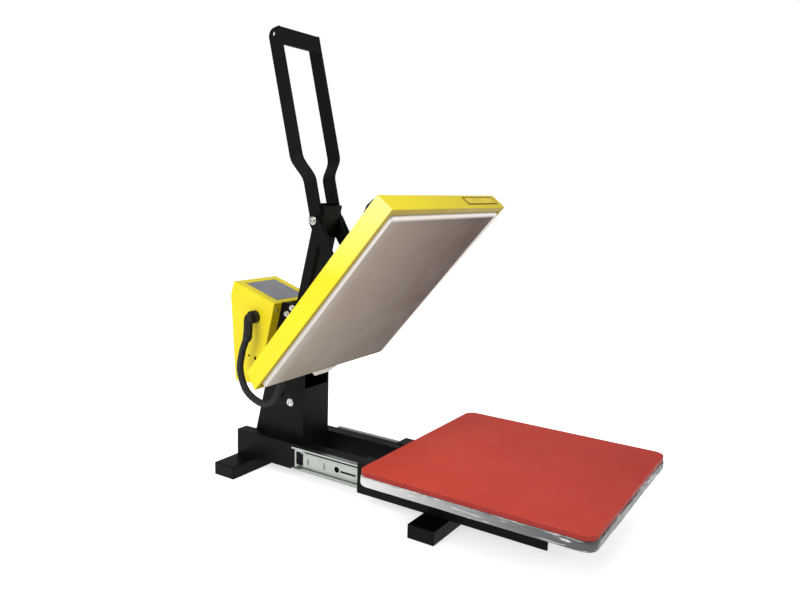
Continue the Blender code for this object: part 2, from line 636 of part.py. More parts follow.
def make_control_box():
    top = 0.3385
    outline = [
        (box_front(BOX_BOTTOM), BOX_BOTTOM), BOX_REAR_BOTTOM, BOX_REAR_TOP, BOX_CROWN, (box_front(top), top),
    ]
    shell = bevel(add("control_box", side_plate((-BOX_HALF, BOX_HALF), outline), YELLOW), 0.0016)
    half = BOX_HALF - BOX_SHEET
    window = box((-0.0413, 0.0413), (SCREEN_Y[0] - GAP, SCREEN_Y[1] + GAP), (-0.01, 0.01))
    slot = box((-0.07, -0.05), (0.3265, 0.3325), (0.2215, 0.2290))
    cut(
        shell, side_plate((-half, half), inset(outline, BOX_SHEET)), screen_space(window),
        pin(-0.07, -0.05, 0.0083, BOX_GLAND), pin(-0.07, -0.05, 0.0025, (0.346, 0.2285), 12), slot,
        rear_space(box((-0.0243, 0.0243), (-0.01, 0.01), (0.0183, 0.0457))),
        rear_space(box((-0.0113, 0.0113), (-0.01, 0.01), (0.0583, 0.0817))),
        rear_space(turned_y([(-0.01, 0.0068), (0.01, 0.0068)], (0.038, 0.032))),
    )
    add("screen", screen_space(box((-0.041, 0.041), SCREEN_Y, (-0.0035, 0.0004))), SCREEN)
    board = screen_space(box((-0.050, 0.050), (0.006, SCREEN_Y[1] + 0.002), (-0.0055, -0.0038)))
    relay = screen_space(box((0.010, 0.040), (0.030, 0.058), (-0.024, -0.005)))
    weld(add("circuit_board", board, BOARD), relay)

    inlet = rear_space(box((-0.024, 0.024), (-0.022, 0.0005), (0.0186, 0.0454)))
    inlet = add("power_inlet", inlet, BLACK_PLASTIC)
    weld(inlet, rear_space(box((-0.0275, 0.0275), (0.0003, 0.003), (0.0165, 0.0475))))
    prongs = [(-0.007, 0.030), (0.007, 0.030), (0.0, 0.0355)]
    cut(inlet, rear_space(box((-0.013, 0.013), (-0.016, 0.01), (0.0235, 0.0405))))
    weld(inlet, *[rear_space(box((x - 0.001, x + 0.001), (-0.018, -0.002), (z - 0.002, z + 0.002))) for x, z in prongs])

    fuse = turned_y([(-0.022, 0.0065), (0.0003, 0.0065), (0.0003, 0.0085), (0.007, 0.0080)], (0.038, 0.032))
    add("fuse_holder", rear_space(fuse), BLACK_PLASTIC)
    bezel = add("switch_bezel", rear_space(box((-0.011, 0.011), (-0.018, 0.0005), (0.0586, 0.0814))), BLACK_PLASTIC)
    weld(bezel, rear_space(box((-0.014, 0.014), (0.0003, 0.0025), (0.0555, 0.0845))))
    cut(bezel, rear_space(box((-0.0090, 0.0090), (-0.012, 0.01), (0.0605, 0.0795))))

    elbow = tube(smooth_route([
        (-0.064, *BOX_GLAND), (-0.076, *BOX_GLAND), (-0.0835, BOX_GLAND[0] - 0.0045, BOX_GLAND[1] - 0.007),
        (-0.085, 0.3232, 0.289), (-0.085, 0.3250, 0.2735),
    ], 4), 0.0090)
    gland = turned([(-0.071, 0.0125), (-0.0603, 0.0125), (-0.0603, 0.008), (-0.053, 0.008)], 18)
    gland.transform(Matrix.Translation((0, *BOX_GLAND)))
    weld(add("box_gland", gland, BLACK_PLASTIC), elbow)


def turned_y(bands, at):
    """Solid of revolution about Y at this x and z."""
    mesh = turned(bands, 20)
    mesh.transform(Matrix.Translation((at[0], 0, at[1])) @ Matrix.Rotation(pi / 2, 4, "Z"))
    return mesh


def screen_space(mesh):
    """Local Y climbs the box's sloping top from its front edge, local Z leaves it."""
    rise = atan2(BOX_CROWN[1] - 0.3385, BOX_CROWN[0] - box_front(0.3385))
    mesh.transform(Matrix.Translation((0, box_front(0.3385), 0.3385)) @ Matrix.Rotation(rise, 4, "X"))
    return mesh


def rear_tilt():
    return -atan2(BOX_REAR_TOP[0] - BOX_REAR_BOTTOM[0], BOX_REAR_TOP[1] - BOX_REAR_BOTTOM[1])


def rear_space(mesh):
    """Local Z climbs the box's rear face from its lower edge, local Y leaves it."""
    mesh.transform(Matrix.Translation((0, *BOX_REAR_BOTTOM)) @ Matrix.Rotation(rear_tilt(), 4, "X"))
    return mesh


def make_switch(switch):
    outline = [(-0.006, -0.0065), (0.0015, -0.0088), (-0.0002, 0.0), (0.0035, 0.0088), (-0.006, 0.0065)]
    add("power_switch", side_plate((-0.0087, 0.0087), outline), BLACK_PLASTIC, switch)


def make_conduit():
    open_arm = Matrix.Translation(HINGE) @ Matrix.Rotation(-OPEN_ANGLE, 4, "X") @ gland_place()
    approach, mouth = open_arm @ Vector((0.0290, 0, 0)), open_arm @ Vector((0.0192, 0, 0))
    mesh = tube(smooth_route([
        (-0.085, 0.3254, 0.2708), (-0.086, 0.3316, 0.2578), (-0.088, 0.3366, 0.2389), (-0.094, 0.3353, 0.2069),
        (-0.101, 0.3115, 0.1724), (-0.1035, 0.2713, 0.1567), (-0.101, 0.2440, 0.1665), (-0.096, 0.2355, 0.1850),
        (-0.089, 0.2372, 0.2020), approach, mouth,
    ], 3), CONDUIT_RADIUS)
    add("conduit", mesh, BLACK_PLASTIC)


clear_scene()
PARTS = new_collection("heat_press")
CUTTERS = new_collection("cutters")
CUTTERS.hide_render = True

BLACK = material("black_paint", (0.012, 0.012, 0.014), 0.25)
YELLOW = material("yellow_powder_coat", (0.80, 0.66, 0.03), 0.38)
STEEL = material("bright_steel", (0.62, 0.62, 0.62), 0.28, 1.0)
ZINC = material("zinc_plate", (0.70, 0.72, 0.70), 0.35, 1.0)
ALUMINIUM = material("cast_aluminium", (0.45, 0.41, 0.36), 0.45, 1.0)
DARK_ALUMINIUM = material("black_anodised", (0.02, 0.02, 0.022), 0.30)
SILICONE = material("red_silicone", (0.46, 0.045, 0.035), 0.65)
RUBBER = material("black_rubber", (0.02, 0.02, 0.02), 0.80)
FIBRE = material("glass_fibre", (0.75, 0.73, 0.66), 0.90)
CERAMIC = material("terminal_ceramic", (0.55, 0.50, 0.44), 0.55)
BLACK_PLASTIC = material("black_plastic", (0.02, 0.02, 0.02), 0.50)
SCREEN = material("display", (0.13, 0.14, 0.17), 0.15)
BOARD = material("circuit_board", (0.02, 0.14, 0.06), 0.50)

CROSS_BOLT, STOP_BOLT, TOP_BOLT = (0.258, 0.1455), (0.268, 0.3175), (0.255, 0.3305)
ARM_REAR_AT_TOP = 0.2557          # rear face of the open arm at the tower's top
SCREEN_Y = (0.0105, 0.0950)
BOX_GLAND = (0.329, 0.3075)

arm_pivot = pivot_empty("arm_pivot", HINGE, -OPEN_ANGLE)
handle_pivot = pivot_empty("handle_pivot", PIVOT, HANDLE_TILT, arm_pivot)
link_pivot = pivot_empty("link_pivot", TOGGLE, LINK_TILT)
knob_pivot = pivot_empty("knob_pivot", (0, KNOB_Y, 0), 0.0, arm_pivot)
drawer_pivot = pivot_empty("drawer_pivot", (0, 0, 0), 0.0)
middle_pivot = pivot_empty("middle_slide_pivot", (0, 0, 0), 0.0)
switch_place = Matrix.Translation((0, *BOX_REAR_BOTTOM)) @ Matrix.Rotation(rear_tilt(), 4, "X")
switch_pivot = pivot_empty("switch_pivot", switch_place @ Vector((0, 0.0, 0.070)), rear_tilt())

make_base()
make_tower()
make_tower_pins()
make_slides(drawer_pivot, middle_pivot)
make_drawer(drawer_pivot)
make_arm(arm_pivot)
make_upper_platen(arm_pivot)
make_cover(arm_pivot)
make_handle(handle_pivot)
make_links(link_pivot)
make_knob(knob_pivot)
make_control_box()
make_switch(switch_pivot)
make_conduit()
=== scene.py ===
"""Looks for the swing-up heat press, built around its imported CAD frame."""

import json
from math import copysign, cos, pi, radians, sin

import bmesh
import bpy
from mathutils import Matrix, Vector, noise


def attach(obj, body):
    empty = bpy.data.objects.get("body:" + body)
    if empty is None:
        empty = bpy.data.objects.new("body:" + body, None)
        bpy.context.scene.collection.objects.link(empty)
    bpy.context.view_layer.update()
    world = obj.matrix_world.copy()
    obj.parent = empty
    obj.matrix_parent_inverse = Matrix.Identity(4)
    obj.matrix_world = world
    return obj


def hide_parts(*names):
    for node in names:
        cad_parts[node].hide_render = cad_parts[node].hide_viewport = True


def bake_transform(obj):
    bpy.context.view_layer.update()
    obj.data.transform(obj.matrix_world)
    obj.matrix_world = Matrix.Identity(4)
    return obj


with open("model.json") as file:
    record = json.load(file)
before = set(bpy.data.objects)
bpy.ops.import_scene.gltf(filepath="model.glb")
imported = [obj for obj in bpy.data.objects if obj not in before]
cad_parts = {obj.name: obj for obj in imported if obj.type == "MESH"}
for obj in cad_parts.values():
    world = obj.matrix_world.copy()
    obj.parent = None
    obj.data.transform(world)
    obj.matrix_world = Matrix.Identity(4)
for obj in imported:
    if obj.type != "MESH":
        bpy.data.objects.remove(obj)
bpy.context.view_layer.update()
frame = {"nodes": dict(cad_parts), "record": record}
NODES = frame["nodes"]

HINGE = Vector((0.0, 0.290, 0.1595))
OPEN = radians(50.0)
ARM = Matrix.Translation(HINGE) @ Matrix.Rotation(-OPEN, 4, "X")
PIVOT = Vector((0.0, -0.3125, 0.1526))


# Materials

class Shader:
    """A Principled material and short calls for the nodes that feed it."""

    def __init__(self, name, colour, roughness, metallic=0.0, **sockets):
        self.mat = bpy.data.materials.new(name)
        self.mat.use_nodes = True
        self.tree = self.mat.node_tree
        self.out = self.tree.nodes["Principled BSDF"]
        self.out.inputs["Base Color"].default_value = (*colour, 1.0)
        self.out.inputs["Roughness"].default_value = roughness
        self.out.inputs["Metallic"].default_value = metallic
        for socket, value in sockets.items():
            self.out.inputs[socket.replace("_", " ")].default_value = value
        self.place = self.node("ShaderNodeTexCoord").outputs["Object"]
        self.normal = None

    def node(self, kind, **settings):
        made = self.tree.nodes.new(kind)
        for name, value in settings.items():
            setattr(made, name, value)
        return made

    def link(self, source, target):
        self.tree.links.new(source, target)

    def stretched(self, scale, turn=(0, 0, 0)):
        mapping = self.node("ShaderNodeMapping")
        mapping.inputs["Scale"].default_value = scale
        mapping.inputs["Rotation"].default_value = turn
        self.link(self.place, mapping.inputs["Vector"])
        return mapping.outputs["Vector"]

    def noise(self, scale, detail=3.0, rough=0.5, at=None, warp=0.0):
        made = self.node("ShaderNodeTexNoise")
        made.inputs["Scale"].default_value = scale
        made.inputs["Detail"].default_value = detail
        made.inputs["Roughness"].default_value = rough
        made.inputs["Distortion"].default_value = warp
        self.link(self.place if at is None else at, made.inputs["Vector"])
        return made.outputs["Fac"]

    def cells(self, scale, feature="F1", at=None):
        made = self.node("ShaderNodeTexVoronoi", feature=feature)
        made.inputs["Scale"].default_value = scale
        self.link(self.place if at is None else at, made.inputs["Vector"])
        return made.outputs["Distance"]

    def ramp(self, source, low, high, first=0.0, last=1.0):
        made = self.node("ShaderNodeMapRange")
        made.inputs["From Min"].default_value = low
        made.inputs["From Max"].default_value = high
        made.inputs["To Min"].default_value = first
        made.inputs["To Max"].default_value = last
        self.link(source, made.inputs["Value"])
        return made.outputs["Result"]

    def math(self, operation, a, b):
        made = self.node("ShaderNodeMath", operation=operation)
        for socket, value in zip(made.inputs, (a, b)):
            if isinstance(value, (int, float)):
                socket.default_value = value
            else:
                self.link(value, socket)
        return made.outputs[0]

    def mix(self, factor, a, b, blend="MIX"):
        made = self.node("ShaderNodeMix", data_type="RGBA", blend_type=blend)
        self.link(factor, made.inputs["Factor"])
        for socket, value in ((made.inputs[6], a), (made.inputs[7], b)):
            if isinstance(value, tuple):
                socket.default_value = (*value, 1.0)
            else:
                self.link(value, socket)
        return made.outputs[2]

    def colour(self, source):
        self.link(source, self.out.inputs["Base Color"])

    def roughness(self, source):
        self.link(source, self.out.inputs["Roughness"])

    def bump(self, source, distance, strength=1.0):
        made = self.node("ShaderNodeBump")
        made.inputs["Strength"].default_value = strength
        made.inputs["Distance"].default_value = distance
        self.link(source, made.inputs["Height"])
        if self.normal is not None:
            self.link(self.normal, made.inputs["Normal"])
        self.normal = made.outputs["Normal"]
        self.link(self.normal, self.out.inputs["Normal"])

    def soften(self, radius):
        made = self.node("ShaderNodeBevel", samples=4)
        made.inputs["Radius"].default_value = radius
        self.normal = made.outputs["Normal"]
        self.link(self.normal, self.out.inputs["Normal"])


def black_enamel(name="black_enamel", tint=(0.0032, 0.0033, 0.0040), rough=0.40):
    s = Shader(name, tint, rough, Specular_IOR_Level=0.07)
    s.soften(0.0008)
    s.bump(s.noise(700.0, 3.0, 0.6), 0.00010, 0.5)
    haze = s.noise(13.0, 4.0, 0.6)
    s.roughness(s.ramp(haze, 0.35, 0.75, rough - 0.06, rough + 0.12))
    dust = s.ramp(s.noise(420.0, 2.0, 0.7), 0.70, 0.82, 0.0, 0.7)
    cloud = s.mix(s.ramp(s.noise(5.0, 4.0), 0.3, 0.7), tint, tuple(c * 1.5 for c in tint))
    s.colour(s.mix(dust, cloud, tuple(c * 2.4 + 0.004 for c in tint)))
    return s.mat


def yellow_powder():
    """Yellow powder coat; the photograph's shading of the cover is painted in, and isn't real colour."""
    base, deep = (0.76, 0.63, 0.013), (0.67, 0.54, 0.009)
    s = Shader("yellow_powder", base, 0.42, Specular_IOR_Level=0.22)
    s.soften(0.0009)
    s.bump(s.noise(1000.0, 3.0, 0.6), 0.00009, 0.5)
    coat = s.mix(s.ramp(s.noise(7.0, 4.0), 0.3, 0.72), base, deep)
    normal = s.node("ShaderNodeTexCoord").outputs["Normal"]
    under, fore = (s.node("ShaderNodeVectorMath", operation="DOT_PRODUCT") for _ in range(2))
    under.inputs[1].default_value = (0.0, -sin(OPEN), -cos(OPEN))
    fore.inputs[1].default_value = (0.0, -cos(OPEN), sin(OPEN))
    for dot in (under, fore):
        s.link(normal, dot.inputs[0])
    place = s.node("ShaderNodeSeparateXYZ")
    s.link(s.place, place.inputs["Vector"])
    is_front = s.ramp(fore.outputs["Value"], 0.90, 0.97)
    towards_right = s.ramp(place.outputs["X"], -0.19, 0.19, 0.0, 0.55)
    coat = s.mix(s.math("MULTIPLY", is_front, towards_right), coat, (0.30, 0.20, 0.006))
    is_left_side = s.ramp(place.outputs["X"], -0.1885, -0.1915)
    glare = s.ramp(place.outputs["Z"], 0.42, 0.56, 0.0, 0.75)
    coat = s.mix(s.math("MULTIPLY", is_left_side, glare), coat, (0.86, 0.80, 0.30))
    folded_edge = s.ramp(under.outputs["Value"], 0.85, 0.96, 0.0, 0.72)
    s.colour(s.mix(folded_edge, coat, (0.16, 0.10, 0.005)))
    s.roughness(s.ramp(s.noise(26.0, 4.0, 0.6), 0.3, 0.7, 0.34, 0.52))
    return s.mat


def metal(name, colour, rough, along=(1, 1, 1), grain=600.0, stain=0.12):
    s = Shader(name, colour, rough, 1.0)
    s.soften(0.0003)
    lines = s.noise(grain, 3.0, 0.6, s.stretched(along))
    s.bump(lines, 0.00003, 0.5)
    s.roughness(s.ramp(lines, 0.3, 0.7, rough - 0.07, rough + 0.10))
    worn = tuple(c * (1 - stain) for c in colour)
    s.colour(s.mix(s.ramp(s.noise(45.0, 5.0, 0.65), 0.35, 0.7), colour, worn))
    return s.mat


def plastic(name, colour, rough, grain=1500.0, depth=0.00008):
    s = Shader(name, colour, rough, Specular_IOR_Level=0.25)
    s.soften(0.0004)
    s.bump(s.cells(grain), depth, 0.6)
    s.roughness(s.ramp(s.noise(60.0, 3.0), 0.3, 0.7, rough - 0.05, rough + 0.08))
    s.colour(s.mix(s.ramp(s.noise(25.0, 3.0), 0.3, 0.7), colour, tuple(c * 1.35 for c in colour)))
    return s.mat


def red_silicone():
    base, deep, pale = (0.52, 0.050, 0.027), (0.45, 0.036, 0.019), (0.60, 0.080, 0.050)
    s = Shader("red_silicone", base, 0.62, Specular_IOR_Level=0.30)
    s.bump(s.noise(1500.0, 2.0, 0.7), 0.00008, 0.5)
    s.bump(s.noise(16.0, 3.0, 0.5), 0.0006, 0.35)
    cloud = s.mix(s.ramp(s.noise(7.0, 5.0, 0.6), 0.3, 0.72), base, deep)
    specks = s.mix(s.ramp(s.noise(850.0, 2.0, 0.7), 0.66, 0.76), cloud, pale)
    # Darker towards the front right.
    slant = s.node("ShaderNodeVectorMath", operation="DOT_PRODUCT")
    slant.inputs[1].default_value = (0.55, -1.0, 0.0)
    s.link(s.place, slant.inputs[0])
    darker_to_front_right = s.mix(s.ramp(slant.outputs["Value"], 0.05, 0.52, 0.0, 0.75), specks, (0.30, 0.016, 0.009))
    # Faces that turn away from straight up are painted darker: painted shade on the pad's sides.
    up = s.node("ShaderNodeSeparateXYZ")
    s.link(s.node("ShaderNodeTexCoord").outputs["Normal"], up.inputs["Vector"])
    s.colour(s.mix(s.ramp(up.outputs["Z"], 0.9, 0.3), darker_to_front_right, (0.25, 0.013, 0.008)))
    s.roughness(s.ramp(s.noise(22.0, 4.0, 0.6), 0.3, 0.7, 0.54, 0.70))
    return s.mat


def coated_sheet():
    """Woven release sheet; its change from pale to brown follows the photograph's light, not real stains."""
    base, warm = (0.368, 0.330, 0.270), (0.332, 0.286, 0.226)
    s = Shader("release_sheet", base, 0.40, Specular_IOR_Level=0.06)
    s.soften(0.0010)
    turned = s.stretched((1, 1, 1), (OPEN, 0, 0))
    warp = s.node("ShaderNodeTexWave", wave_type="BANDS", bands_direction="X")
    weft = s.node("ShaderNodeTexWave", wave_type="BANDS", bands_direction="Y")
    for wave in (warp, weft):
        wave.inputs["Scale"].default_value = 320.0
        wave.inputs["Distortion"].default_value = 0.6
        s.link(turned, wave.inputs["Vector"])
    s.bump(s.math("MULTIPLY", warp.outputs["Fac"], weft.outputs["Fac"]), 0.00006, 0.4)
    s.bump(s.noise(9.0, 3.0, 0.5), 0.0015, 0.3)
    baked = s.mix(s.ramp(s.noise(4.0, 4.0, 0.55), 0.3, 0.75), base, warm)
    across = s.node("ShaderNodeSeparateXYZ")
    s.link(s.place, across.inputs["Vector"])
    reach = s.node("ShaderNodeVectorMath", operation="DOT_PRODUCT")
    reach.inputs[1].default_value = (0.0, cos(OPEN), -sin(OPEN))
    s.link(s.place, reach.inputs[0])
    flat_y = s.math("SUBTRACT", reach.outputs["Value"], HINGE.y * cos(OPEN) - HINGE.z * sin(OPEN))
    slant = s.math("SUBTRACT", across.outputs["X"], s.math("MULTIPLY", flat_y, 0.35))
    brown = s.mix(s.noise(6.0), (0.068, 0.036, 0.022), (0.088, 0.050, 0.033))
    shaded = s.mix(s.ramp(slant, -0.13, 0.28), baked, brown)
    # The rounded rim (the turned-over faces and the outer and front edges) is painted pale: a painted
    # highlight.
    facing = s.node("ShaderNodeVectorMath", operation="DOT_PRODUCT")
    facing.inputs[1].default_value = (0.0, -sin(OPEN), -cos(OPEN))
    s.link(s.node("ShaderNodeTexCoord").outputs["Normal"], facing.inputs[0])
    turned_over = s.ramp(facing.outputs["Value"], 0.985, 0.90)
    out = s.ramp(s.math("ABSOLUTE", across.outputs["X"], 0.0), 0.1710, 0.1765)
    front = s.ramp(flat_y, -0.4885, -0.4945)
    rim_highlight = s.math("MAXIMUM", turned_over, s.math("MAXIMUM", out, front))
    near_left = s.ramp(across.outputs["X"], -0.135, -0.172)
    near_rear = s.ramp(flat_y, -0.44, -0.16, 0.35, 0.80)
    sheen = s.math("POWER", s.math("MULTIPLY", near_left, near_rear), 1.6)
    paler = s.mix(sheen, shaded, (0.50, 0.47, 0.43))
    s.colour(s.mix(rim_highlight, paler, (0.74, 0.72, 0.68)))
    s.roughness(s.ramp(s.noise(18.0, 4.0), 0.3, 0.7, 0.34, 0.50))
    return s.mat


def wrapped_film():
    """Protective foil pulled round the lower platen's sides, with long folds."""
    s = Shader("wrapped_film", (0.30, 0.30, 0.31), 0.30, 0.35, Specular_IOR_Level=0.6)
    along = s.noise(16.0, 3.0, 0.5, s.stretched((1.0, 1.0, 7.0)), 0.9)
    s.bump(along, 0.0030, 0.55)
    s.bump(s.noise(40.0, 2.0, 0.5, s.stretched((1.0, 1.0, 4.0))), 0.0008, 0.30)
    place = s.node("ShaderNodeSeparateXYZ")
    s.link(s.place, place.inputs["Vector"])
    # Painted light and shade: the left side is lighter towards the rear, and the other sides are painted near
    # black.
    back = s.ramp(place.outputs["Y"], -0.39, -0.01)
    light = s.mix(s.math("POWER", back, 1.8), (0.050, 0.052, 0.055), (0.60, 0.60, 0.59))
    dark = s.mix(s.ramp(place.outputs["X"], -0.188, -0.150), light, (0.016, 0.017, 0.019))
    # The pale streaks along the folds are painted reflections.
    s.colour(s.mix(s.ramp(along, 0.60, 0.70, 0.0, 0.75), dark, (0.60, 0.60, 0.60)))
    s.roughness(s.ramp(s.noise(60.0, 3.0), 0.3, 0.7, 0.20, 0.40))
    return s.mat


def display_glass():
    s = Shader("display_glass", (0.11, 0.115, 0.13), 0.12, Coat_Weight=0.6, Coat_Roughness=0.05)
    s.colour(s.mix(s.ramp(s.noise(26.0, 2.0), 0.35, 0.7), (0.125, 0.130, 0.150), (0.155, 0.160, 0.180)))
    s.roughness(s.ramp(s.noise(70.0, 4.0, 0.7), 0.4, 0.7, 0.10, 0.22))
    return s.mat


def fibre_mat():
    s = Shader("glass_fibre", (0.78, 0.75, 0.66), 0.92, Sheen_Weight=0.3)
    s.bump(s.noise(420.0, 5.0, 0.75, s.stretched((1, 0.2, 1))), 0.0008, 0.8)
    s.colour(s.mix(s.noise(60.0, 4.0), (0.80, 0.77, 0.69), (0.66, 0.62, 0.52)))
    return s.mat


BLACK = black_enamel()
YELLOW = yellow_powder()
STEEL = metal("turned_steel", (0.66, 0.66, 0.65), 0.25)
ZINC = metal("bright_zinc", (0.42, 0.455, 0.425), 0.30, (1, 0.04, 1), 260.0, 0.14)
RELEASE = coated_sheet()
SILICONE = red_silicone()
FILM = wrapped_film()
RUBBER = plastic("black_rubber", (0.018, 0.018, 0.018), 0.78, 700.0, 0.0002)
PLASTIC = plastic("black_plastic", (0.0065, 0.0065, 0.0070), 0.50)
LABEL_EDGE = plastic("label_edge", (0.075, 0.052, 0.006), 0.45)
LABEL_FACE = plastic("label_face", (0.50, 0.375, 0.020), 0.40)
CAGE = plastic("ball_cage", (0.010, 0.011, 0.010), 0.40)
CERAMIC = plastic("terminal_ceramic", (0.60, 0.57, 0.51), 0.50)
BOARD = plastic("circuit_board", (0.02, 0.13, 0.055), 0.42)
GLASS = display_glass()
FIBRE = fibre_mat()

SLOT_MATERIALS = {
    "black_paint": BLACK, "yellow_coat": YELLOW, "bright_steel": STEEL, "zinc_plate": ZINC,
    "cast_aluminium": RELEASE, "black_plate": FILM, "silicone": SILICONE, "black_rubber": RUBBER,
    "fibre": FIBRE, "ceramic": CERAMIC, "black_plastic": PLASTIC, "display": GLASS, "board": BOARD,
}
for part in frame["record"]["subparts"]:
    node = NODES[part["node"]]
    node.data.materials.clear()
    node.data.materials.append(SLOT_MATERIALS[part["material_slot"]])


# Shapes

def mesh_of(bm, name="shape"):
    bmesh.ops.recalc_face_normals(bm, faces=bm.faces)
    mesh = bpy.data.meshes.new(name)
    bm.to_mesh(mesh)
    bm.free()
    return mesh


def show(name, mesh, mat, body=None, replaces=()):
    obj = bpy.data.objects.new(name, mesh)
    bpy.context.scene.collection.objects.link(obj)
    mesh.materials.clear()
    mesh.materials.append(mat)
    mesh.shade_smooth()
    mesh.set_sharp_from_angle(angle=radians(35))
    if replaces:
        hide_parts(*replaces)
    if body:
        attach(obj, body)
    return obj


def lathe(rings, segments=30):
    """Closed solid about X from rings of (x, radius), where a radius may be a function of the turn."""
    bm = bmesh.new()
    loops = []
    for x, radius in rings:
        loop = []
        for i in range(segments):
            turn = 2 * pi * i / segments
            r = radius(turn) if callable(radius) else radius
            loop.append(bm.verts.new((x, r * cos(turn), r * sin(turn))))
        loops.append(loop)
    for a, b in zip(loops, loops[1:]):
        for i in range(segments):
            j = (i + 1) % segments
            bm.faces.new((a[i], a[j], b[j], b[i]))
    for loop in (loops[0], loops[-1]):
        middle = bm.verts.new((loop[0].co.x, 0.0, 0.0))
        for i in range(segments):
            bm.faces.new((loop[i], loop[(i + 1) % segments], middle))
    return mesh_of(bm)


def hexagon(flat):
    return lambda turn: flat / cos((turn % (pi / 3)) - pi / 6)


def head_rings(start, height, radius, flat, washer):
    """Socket head that grows from x = start: washer, chamfered rim, hexagonal socket."""
    rings = []
    if washer:
        rings += [(start, washer), (start + 0.0010, washer), (start + 0.0012, washer - 0.0003)]
        start += 0.0012
    chamfer = 0.12 * radius
    rings += [
        (start, radius), (start + height - chamfer, radius), (start + height, radius - chamfer),
        (start + height, hexagon(flat)), (start + 0.35 * height, hexagon(flat)),
    ]
    return rings


def pieces_joined(*meshes):
    bm = bmesh.new()
    for mesh in meshes:
        bm.from_mesh(mesh)
    return mesh_of(bm)


def placed(mesh, matrix):
    mesh.transform(matrix)
    return mesh


def outline_plate(outlines, thickness):
    """Flat plate from a first outline and holes, in local X and Y, centred on z = 0."""
    curve = bpy.data.curves.new("outline", "CURVE")
    curve.dimensions = "2D"
    curve.fill_mode = "BOTH"
    curve.extrude = thickness / 2
    for outline in outlines:
        spline = curve.splines.new("POLY")
        spline.points.add(len(outline) - 1)
        for point, (u, v) in zip(spline.points, outline):
            point.co = (u, v, 0.0, 1.0)
        spline.use_cyclic_u = True
    guide = bpy.data.objects.new("guide", curve)
    bpy.context.scene.collection.objects.link(guide)
    bpy.context.view_layer.update()
    mesh = bpy.data.meshes.new_from_object(guide.evaluated_get(bpy.context.evaluated_depsgraph_get()))
    bpy.data.objects.remove(guide)
    return mesh


def side_plate(x, *outlines):
    """Outlines in (y, z) between two values of x."""
    mesh = outline_plate(outlines, abs(x[1] - x[0]))
    turn = Matrix(((0, 0, 1, (x[0] + x[1]) / 2), (1, 0, 0, 0), (0, 1, 0, 0), (0, 0, 0, 1)))
    return placed(mesh, turn)


def section(y, outline):
    """Outline in (x, z) between two values of y."""
    mesh = outline_plate([outline], y[1] - y[0])
    turn = Matrix.Translation((0, (y[0] + y[1]) / 2, 0)) @ Matrix.Rotation(pi / 2, 4, "X")
    return placed(mesh, turn)


def rectangle(u, v):
    return [(u[0], v[0]), (u[1], v[0]), (u[1], v[1]), (u[0], v[1])]


def rounded(u, v, radius, steps=6):
    outline = []
    for cu, cv, start in (
        (u[1] - radius, v[1] - radius, 0.0), (u[0] + radius, v[1] - radius, 0.5 * pi),
        (u[0] + radius, v[0] + radius, pi), (u[1] - radius, v[0] + radius, 1.5 * pi),
    ):
        for i in range(steps + 1):
            turn = start + pi * i / (2 * steps)
            outline.append((cu + radius * cos(turn), cv + radius * sin(turn)))
    return outline


def circle(centre, radius, count=20):
    turns = [2 * pi * i / count for i in range(count)]
    return [(centre[0] + radius * cos(t), centre[1] + radius * sin(t)) for t in turns]


def smooth_route(points, steps):
    points = [Vector(p) for p in points]
    padded = [2 * points[0] - points[1], *points, 2 * points[-1] - points[-2]]
    route = []
    for a, b, c, d in zip(padded, padded[1:], padded[2:], padded[3:]):
        for i in range(steps):
            t = i / steps
            bend = (2 * a - 5 * b + 4 * c - d) * t * t + (3 * b - a - 3 * c + d) * t ** 3
            route.append(0.5 * (2 * b + (c - a) * t + bend))
    return [*route, points[-1]]


def sweep(route, radius_at, segments=14):
    """Round tube along a route; radius_at takes the distance from its start."""
    bm = bmesh.new()
    loops, travelled = [], 0.0
    side = Vector((1, 0, 0))
    for i, point in enumerate(route):
        if i:
            travelled += (point - route[i - 1]).length
        heading = (route[min(i + 1, len(route) - 1)] - route[max(i - 1, 0)]).normalized()
        side = (side - side.dot(heading) * heading).normalized()
        other = heading.cross(side)
        r = radius_at(travelled)
        loops.append([
            bm.verts.new(point + r * (cos(2 * pi * k / segments) * side + sin(2 * pi * k / segments) * other))
            for k in range(segments)
        ])
    for a, b in zip(loops, loops[1:]):
        for k in range(segments):
            j = (k + 1) % segments
            bm.faces.new((a[k], a[j], b[j], b[k]))
    bm.faces.new(loops[0])
    bm.faces.new(loops[-1])
    return mesh_of(bm)


# Detail

def at(y, z):
    return Matrix.Translation((0.0, y, z))


def through_bolt(node, place, outside, radius, height, shank, flat, washer, body="root", right=True):
    """Bolt across the machine with a socket head and washer on its left side, and on its right."""
    rings = head_rings(outside, height, radius, flat, washer)
    left = [(-x, r) for x, r in reversed(rings)]
    inner = 0.030
    if right:
        whole = [*left, (-outside, shank), (outside, shank), *rings]
    else:
        whole = [*left, (-outside, shank), (-inner, shank)]
    show(f"{node}_detail", placed(lathe(whole), place), STEEL, body, (node,))


def make_bolts():
    outside = 0.0385
    small = (outside, 0.0042, 0.0033, 0.003, 0.0020, 0.0058)
    through_bolt("cross_bolt", at(0.258, 0.1455), outside, 0.0055, 0.0033, 0.004, 0.0026, 0.0078)
    through_bolt("stop_bolt", at(0.268, 0.3175), *small)
    through_bolt("top_bolt", at(0.255, 0.3305), *small, right=False)
    pivot = ARM @ at(*PIVOT.yz)
    through_bolt("pivot_bolt", pivot, 0.0395, 0.0058, 0.0040, 0.006, 0.0030, 0.0075, "arm")


